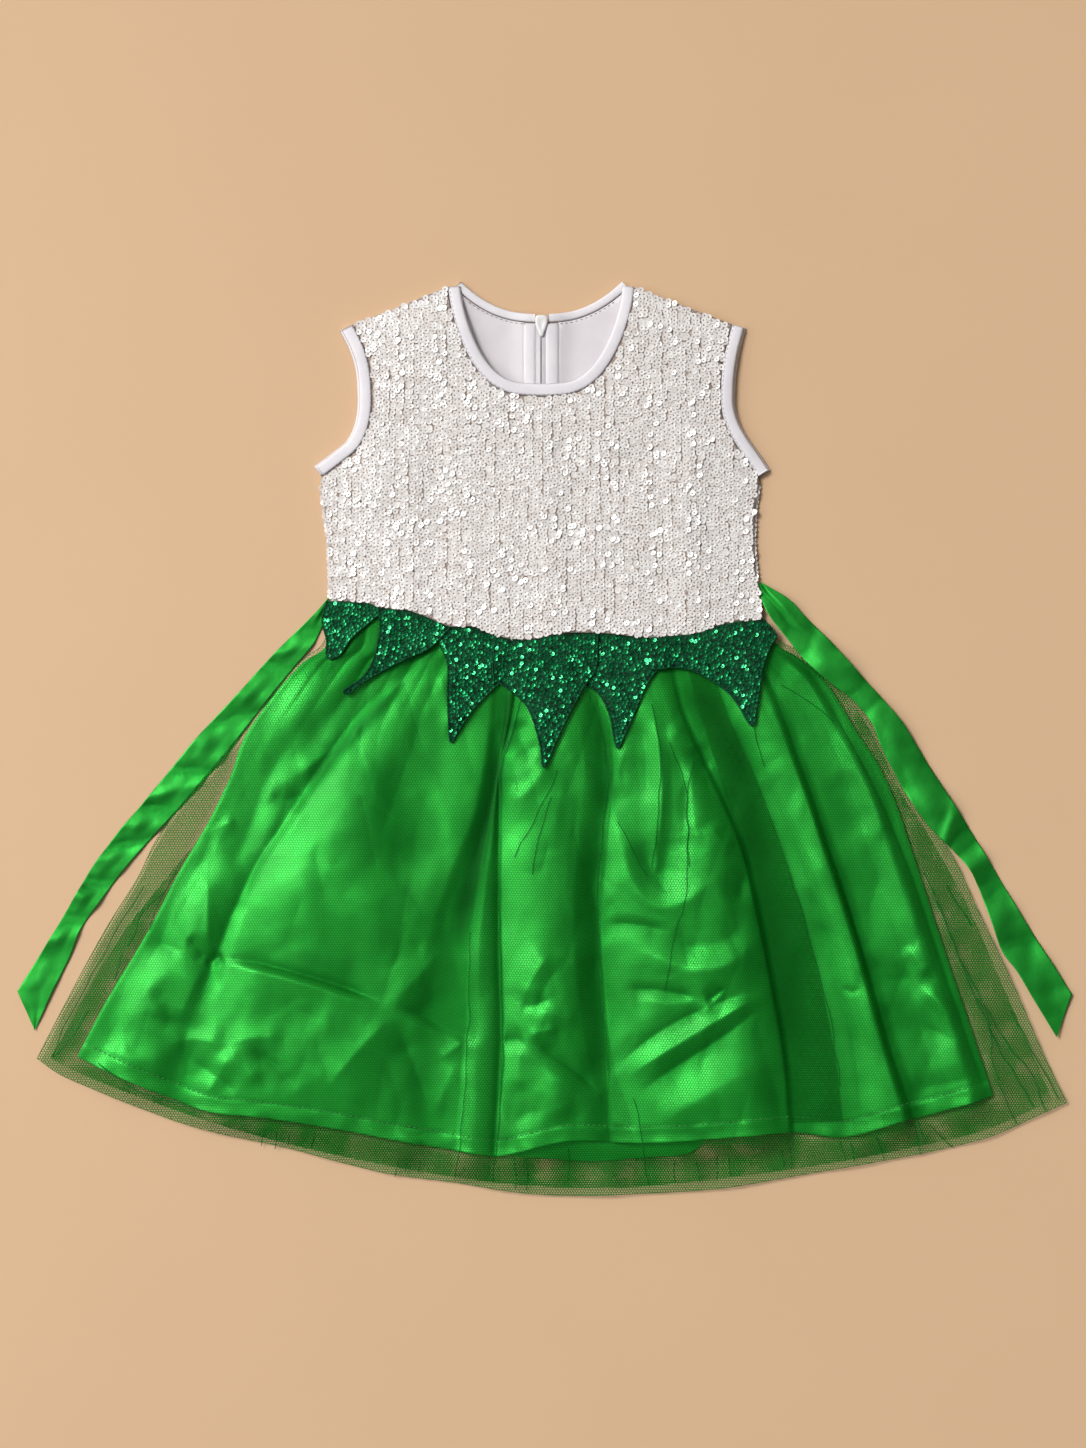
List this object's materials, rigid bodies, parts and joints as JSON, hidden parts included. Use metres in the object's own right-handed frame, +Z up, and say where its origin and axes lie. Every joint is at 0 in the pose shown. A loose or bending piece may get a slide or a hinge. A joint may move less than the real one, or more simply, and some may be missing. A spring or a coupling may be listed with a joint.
{
  "type": "child's sleeveless costume dress laid flat",
  "caption": "Child's costume dress laid flat: sequinned sleeveless bodice, satin skirt under net, pointed leaf peplum, sash ends and back zip.",
  "frame": {"origin": "on the surface the dress lies on, under the middle of its outline seen from above", "axes": "+X to the picture's right, across the dress; +Y up the dress, from hem to neck; +Z up from the surface, out of its front"},
  "size_m": [0.6743, 0.5823, 0.0188],
  "materials": {
    "white_sequin": "round sequins sewn on knit, sparkling",
    "white_binding": "matt woven bias strip",
    "white_lining": "matt plain weave",
    "green_satin": "glossy satin",
    "green_net": "fine see-through net",
    "green_sequin": "small sequins on dark knit",
    "zip_tape": "ribbed woven tape",
    "zip_nylon": "semi-gloss nylon coil",
    "zip_metal": "white gloss enamel"
  },
  "bodies": {
    "dress": {"bodice_front": "white_sequin", "bodice_back_left": "white_sequin", "bodice_back_right": "white_sequin", "lining_back_left": "white_lining", "lining_back_right": "white_lining", "neck_binding_front": "white_binding", "neck_binding_back_left": "white_binding", "neck_binding_back_right": "white_binding", "armhole_binding_front_left": "white_binding", "armhole_binding_front_right": "white_binding", "armhole_binding_back_left": "white_binding", "armhole_binding_back_right": "white_binding", "zip_tape_left": "zip_tape", "zip_tape_right": "zip_tape", "zip_coil": "zip_nylon", "zip_slider": "zip_metal", "peplum_leaf_1": "green_sequin", "peplum_leaf_2": "green_sequin", "peplum_leaf_3": "green_sequin", "peplum_leaf_4": "green_sequin", "peplum_leaf_5": "green_sequin", "peplum_leaf_6": "green_sequin", "skirt_front": "green_satin", "skirt_back": "green_satin", "tulle_front": "green_net", "tulle_back": "green_net", "sash_left": "green_satin", "sash_right": "green_satin"},
    "zip_pull": {"zip_pull_tab": "zip_metal"}
  },
  "joints": [
    {"name": "pull_tab_swing", "type": "hinge", "parent": "dress", "child": "zip_pull", "pos_m": [-0.002, 0.266, 0.00145], "axis": [1, 0, 0], "range_deg": [0, 170]}
  ]
}
